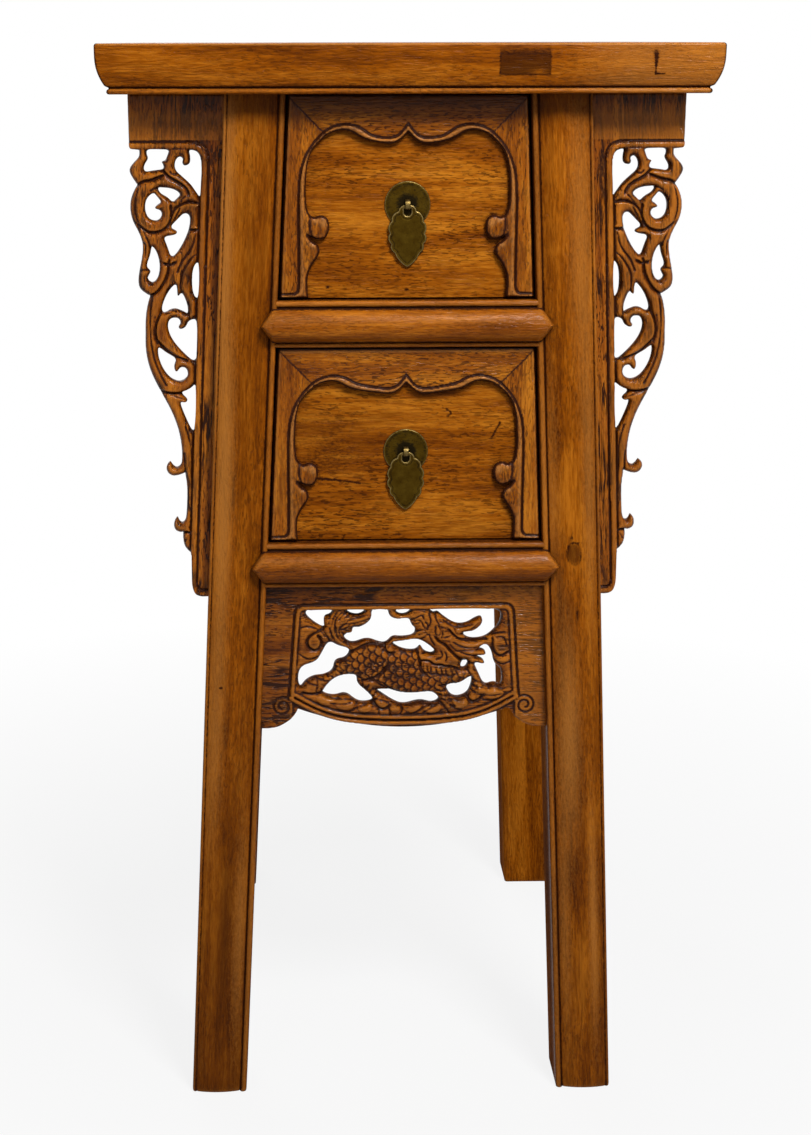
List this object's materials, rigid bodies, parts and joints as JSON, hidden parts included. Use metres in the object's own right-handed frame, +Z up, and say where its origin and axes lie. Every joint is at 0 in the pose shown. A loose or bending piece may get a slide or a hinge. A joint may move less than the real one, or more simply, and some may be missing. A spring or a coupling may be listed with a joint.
{
  "type": "coffer table",
  "caption": "Narrow east asian hardwood stand with splayed legs, stacked drawers with leaf pulls, carved openwork spandrels and a carved beast apron under a moulded top.",
  "frame": {"origin": "on the floor, at the middle of the four feet's footprint", "axes": "+Z up, +X to the right as seen from the front, +Y to the back; the drawers open towards -Y"},
  "size_m": [0.46, 0.44, 0.86],
  "materials": {
    "frame_wood": "aged waxed hardwood",
    "panel_wood": "aged waxed hardwood",
    "carved_wood": "carved hardwood with dark patina in the hollows",
    "inner_wood": "plain unfinished wood",
    "aged_brass": "dark aged brass"
  },
  "bodies": {
    "frame": {"back_lower_panel": "panel_wood", "back_lower_rail": "frame_wood", "back_upper_panel": "panel_wood", "back_upper_rail": "frame_wood", "front_apron": "carved_wood", "front_left_leg": "frame_wood", "front_lower_rail": "frame_wood", "front_right_leg": "frame_wood", "front_upper_rail": "frame_wood", "left_lower_side_panel": "panel_wood", "left_lower_side_rail": "frame_wood", "left_spandrel": "carved_wood", "left_upper_side_panel": "panel_wood", "left_upper_side_rail": "frame_wood", "lower_left_guide": "inner_wood", "lower_left_runner": "inner_wood", "lower_right_guide": "inner_wood", "lower_right_runner": "inner_wood", "rear_left_leg": "frame_wood", "rear_right_leg": "frame_wood", "right_lower_side_panel": "panel_wood", "right_lower_side_rail": "frame_wood", "right_spandrel": "carved_wood", "right_upper_side_panel": "panel_wood", "right_upper_side_rail": "frame_wood", "top_back_rail": "frame_wood", "top_brace": "inner_wood", "top_front_rail": "frame_wood", "top_left_rail": "frame_wood", "top_panel": "panel_wood", "top_right_rail": "frame_wood", "upper_left_guide": "inner_wood", "upper_left_runner": "inner_wood", "upper_right_guide": "inner_wood", "upper_right_runner": "inner_wood"},
    "upper_drawer": {"upper_arch_head": "carved_wood", "upper_arch_left": "carved_wood", "upper_arch_right": "carved_wood", "upper_drawer_back": "inner_wood", "upper_drawer_bottom": "inner_wood", "upper_drawer_front": "panel_wood", "upper_drawer_left_side": "inner_wood", "upper_drawer_right_side": "inner_wood", "upper_pull_plate": "aged_brass", "upper_pull_staple": "aged_brass"},
    "lower_drawer": {"lower_arch_head": "carved_wood", "lower_arch_left": "carved_wood", "lower_arch_right": "carved_wood", "lower_drawer_back": "inner_wood", "lower_drawer_bottom": "inner_wood", "lower_drawer_front": "panel_wood", "lower_drawer_left_side": "inner_wood", "lower_drawer_right_side": "inner_wood", "lower_pull_plate": "aged_brass", "lower_pull_staple": "aged_brass"},
    "upper_pull": {"upper_pull_leaf": "aged_brass"},
    "lower_pull": {"lower_pull_leaf": "aged_brass"}
  },
  "joints": [
    {"name": "upper_drawer_slide", "type": "slide", "parent": "frame", "child": "upper_drawer", "axis": [0, -1, 0], "range_m": [0, 0.25]},
    {"name": "lower_drawer_slide", "type": "slide", "parent": "frame", "child": "lower_drawer", "axis": [0, -1, 0], "range_m": [0, 0.25]},
    {"name": "upper_pull_swing", "type": "hinge", "parent": "upper_drawer", "child": "upper_pull", "pos_m": [0, -0.18687, 0.74233], "axis": [-1, 0, 0], "range_deg": [0, 105]},
    {"name": "lower_pull_swing", "type": "hinge", "parent": "lower_drawer", "child": "lower_pull", "pos_m": [0, -0.19377, 0.55271], "axis": [-1, 0, 0], "range_deg": [0, 105]}
  ]
}
